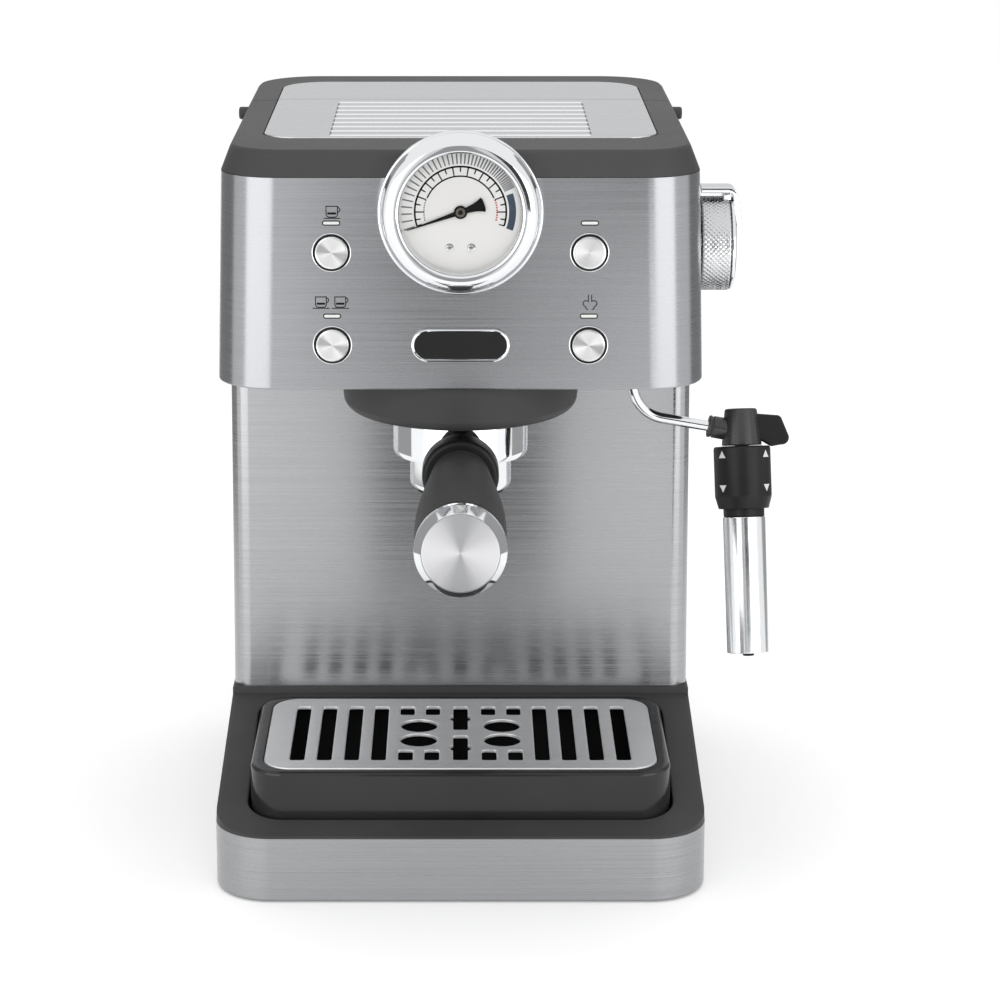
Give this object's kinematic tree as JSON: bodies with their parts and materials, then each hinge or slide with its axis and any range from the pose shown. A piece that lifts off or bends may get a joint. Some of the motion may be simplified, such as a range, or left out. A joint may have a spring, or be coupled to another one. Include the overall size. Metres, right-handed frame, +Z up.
{
  "type": "espresso machine",
  "caption": "Slim pump espresso machine with a round pressure dial, bayonet portafilter, swivelling milk frother, drip tray and lift-out water tank.",
  "frame": {"origin": "middle of the bounding box on the surface that the feet stand on", "axes": "+Z up, the front with the dial and the handle faces -Y, +X is the side of the steam knob and the milk wand"},
  "size_m": [0.2398, 0.3198, 0.3248],
  "materials": {
    "brushed_stainless": "brushed horizontally",
    "bright_chrome": "polished",
    "dark_plastic": "fine satin grain",
    "black_plastic": "satin",
    "tray_plastic": "gloss",
    "rubber": "matte",
    "cast_aluminium": "as cast, machined faces",
    "brass": "turned",
    "dial_white": "satin print",
    "clear_glass": "clear",
    "lamp_lens": "translucent white",
    "circuit_board": "solder mask",
    "silicone_hose": "translucent silicone",
    "smoked_plastic": "smoke tinted, clear",
    "pump_body": "moulded with a steel yoke"
  },
  "bodies": {
    "machine": {"base_band": "brushed_stainless", "base_deck": "dark_plastic", "tray_well": "dark_plastic", "base_plate": "black_plastic", "feet": "rubber", "base_screws": "bright_chrome", "cord_inlet": "black_plastic", "column_panel": "brushed_stainless", "rear_housing": "dark_plastic", "head_shell": "brushed_stainless", "head_floor": "dark_plastic", "top_rim": "dark_plastic", "cup_warmer_plate": "brushed_stainless", "badge_plate": "bright_chrome", "gauge_housing": "dark_plastic", "gauge_bezel": "bright_chrome", "gauge_dial": "dial_white", "gauge_glass": "clear_glass", "dial_screws": "bright_chrome", "button_rings": "bright_chrome", "indicator_lenses": "lamp_lens", "control_board": "circuit_board", "group_collar": "dark_plastic", "group_head": "cast_aluminium", "group_gasket": "rubber", "shower_screen": "brushed_stainless", "boiler": "cast_aluminium", "pump": "pump_body", "pump_mounts": "rubber", "hoses": "silicone_hose", "tank_socket": "rubber", "steam_valve": "brass", "wand_gland": "black_plastic"},
    "needle": {"gauge_needle": "black_plastic"},
    "single_button": {"button_single": "brushed_stainless"},
    "double_button": {"button_double": "brushed_stainless"},
    "power_button": {"button_power": "brushed_stainless"},
    "steam_button": {"button_steam": "brushed_stainless"},
    "tray": {"drip_tray": "tray_plastic"},
    "grid": {"drip_grid": "brushed_stainless"},
    "tank": {"water_tank": "smoked_plastic", "tank_hinge_pins": "brushed_stainless"},
    "valve": {"tank_valve": "black_plastic"},
    "lid": {"tank_lid": "dark_plastic", "tank_lid_plate": "brushed_stainless"},
    "portafilter": {"portafilter_body": "bright_chrome", "filter_basket": "brushed_stainless", "twin_spout": "black_plastic", "handle_ferrule": "black_plastic", "handle_grip": "dark_plastic", "handle_cap": "bright_chrome", "handle_disc": "brushed_stainless"},
    "knob": {"steam_knob": "bright_chrome", "knob_cap": "bright_chrome"},
    "wand": {"wand_tube": "bright_chrome", "wand_elbow": "dark_plastic", "frother_core": "black_plastic", "steam_nozzle": "black_plastic"},
    "selector": {"selector_collar": "black_plastic"},
    "sleeve": {"frother_sleeve": "bright_chrome"}
  },
  "joints": [
    {"name": "gauge_needle_turn", "type": "hinge", "parent": "machine", "child": "needle", "pos_m": [-0.01654, -0.08175, 0.2922], "axis": [0, 1, 0], "range_deg": [0, 216], "stiffness_Nm_per_rad": 0.0004},
    {"name": "single_button_press", "type": "slide", "parent": "machine", "child": "single_button", "axis": [0, 1, 0], "range_m": [0, 0.0012], "stiffness_N_per_m": 400},
    {"name": "double_button_press", "type": "slide", "parent": "machine", "child": "double_button", "axis": [0, 1, 0], "range_m": [0, 0.0012], "stiffness_N_per_m": 400},
    {"name": "power_button_press", "type": "slide", "parent": "machine", "child": "power_button", "axis": [0, 1, 0], "range_m": [0, 0.0012], "stiffness_N_per_m": 400},
    {"name": "steam_button_press", "type": "slide", "parent": "machine", "child": "steam_button", "axis": [0, 1, 0], "range_m": [0, 0.0012], "stiffness_N_per_m": 400},
    {"name": "drip_tray_lift", "type": "slide", "parent": "machine", "child": "tray", "axis": [0, 0, 1], "range_m": [0, 0.06]},
    {"name": "drip_grid_lift", "type": "slide", "parent": "tray", "child": "grid", "axis": [0, 0, 1], "range_m": [0, 0.04]},
    {"name": "water_tank_lift", "type": "slide", "parent": "machine", "child": "tank", "axis": [0, 0, 1], "range_m": [0, 0.12]},
    {"name": "tank_valve_open", "type": "slide", "parent": "tank", "child": "valve", "axis": [0, 0, 1], "range_m": [0, 0.002], "stiffness_N_per_m": 150},
    {"name": "tank_lid_open", "type": "hinge", "parent": "tank", "child": "lid", "pos_m": [-0.01654, 0.15725, 0.3035], "axis": [-1, 0, 0], "range_deg": [0, 85]},
    {"name": "portafilter_turn", "type": "hinge", "parent": "machine", "child": "portafilter", "pos_m": [-0.01654, -0.02175, 0.205], "axis": [0, 0, 1], "range_deg": [-45, 0]},
    {"name": "steam_knob_turn", "type": "hinge", "parent": "machine", "child": "knob", "pos_m": [0.08346, -0.02175, 0.2686], "axis": [1, 0, 0], "range_deg": [0, 270]},
    {"name": "wand_swivel", "type": "hinge", "parent": "machine", "child": "wand", "pos_m": [0.05496, -0.03675, 0.22], "axis": [0, 0, 1], "range_deg": [-75, 15]},
    {"name": "selector_slide", "type": "slide", "parent": "wand", "child": "selector", "axis": [0.0314, -0.2587, -0.9654], "range_m": [0, 0.003]},
    {"name": "frother_sleeve_pull", "type": "slide", "parent": "wand", "child": "sleeve", "axis": [0.0314, -0.2587, -0.9654], "range_m": [0, 0.04]}
  ]
}
